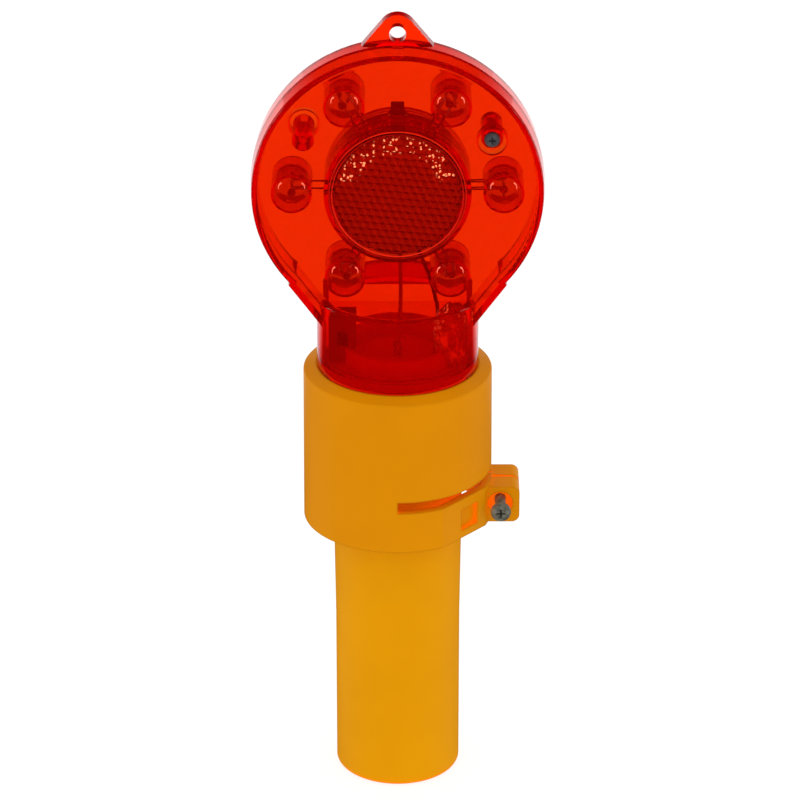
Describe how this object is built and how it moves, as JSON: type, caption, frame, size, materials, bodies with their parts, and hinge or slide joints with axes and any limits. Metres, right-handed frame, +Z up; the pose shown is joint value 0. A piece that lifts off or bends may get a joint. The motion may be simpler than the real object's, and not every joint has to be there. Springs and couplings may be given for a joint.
{
  "type": "barricade warning light",
  "caption": "Two-faced red lamp head with a hanging lug on a battery handle, with a skirt and screw clamp that hold it on a cone or post.",
  "frame": {"origin": "centre of the lamp's footprint box, on the bottom face of the handle", "axes": "+Z up along the handle to the hanging lug, -Y out of the front lamp face, +X towards the clamp screw ears"},
  "size_m": [0.0928, 0.061, 0.2636],
  "materials": {
    "amber_plastic": "satin moulded amber plastic",
    "brass_contact": "stamped spring brass",
    "spring_steel": "nickel-plated spring wire",
    "battery_jacket": "printed battery jacket, no marks",
    "zinc_steel": "weathered zinc-plated steel",
    "black_rubber": "moulded cord",
    "red_lens": "transparent red acrylic, glossy",
    "prism_red": "red prismatic reflector",
    "led_epoxy": "red-tinted clear epoxy",
    "tinned_wire": "tinned lead wire",
    "board_laminate": "green solder mask",
    "chip_black": "moulded component bodies",
    "sensor_dark": "dark light cell",
    "dark_steel": "blackened screw steel",
    "red_plastic": "moulded red plastic",
    "red_insulation": "wire insulation",
    "black_insulation": "wire insulation",
    "dark_red_plastic": "switch case",
    "black_plastic": "switch knob"
  },
  "bodies": {
    "base": {"battery_handle": "amber_plastic", "contact_strip": "brass_contact", "foot_spring": "spring_steel", "lower_battery": "battery_jacket", "upper_battery": "battery_jacket", "clamp_nut": "zinc_steel"},
    "clamp_screw_body": {"clamp_screw": "zinc_steel"},
    "seal": {"neck_seal": "black_rubber"},
    "head": {"front_lens": "red_lens", "rear_lens": "red_lens", "front_reflector": "prism_red", "rear_reflector": "prism_red", "front_leds": "led_epoxy", "rear_leds": "led_epoxy", "led_leads": "tinned_wire", "circuit_board": "board_laminate", "board_parts": "chip_black", "light_sensor": "sensor_dark", "lens_screw": "dark_steel", "contact_carrier": "red_plastic", "top_spring": "spring_steel", "contact_ring": "brass_contact", "terminal_tabs": "brass_contact", "red_wire": "red_insulation", "black_wire": "black_insulation", "switch_body": "dark_red_plastic"},
    "switch_knob": {"switch_slider": "black_plastic"}
  },
  "joints": [
    {"name": "head_lift", "type": "slide", "parent": "base", "child": "seal", "axis": [0, 0, 1], "range_m": [0, 0.003]},
    {"name": "head_turn", "type": "hinge", "parent": "seal", "child": "head", "pos_m": [0, 0, 0.14], "axis": [0, 0, 1], "range_deg": [0, 75]},
    {"name": "clamp_tighten", "type": "slide", "parent": "base", "child": "clamp_screw_body", "axis": [0, 1, 0], "range_m": [0, 0.009]},
    {"name": "switch_slide", "type": "slide", "parent": "head", "child": "switch_knob", "axis": [0, 0, 1], "range_m": [-0.0014, 0.0014]}
  ],
  "couplings": [
    {"joint": "head_lift", "follows": "head_turn", "m_per_rad": 0.0022918}
  ]
}
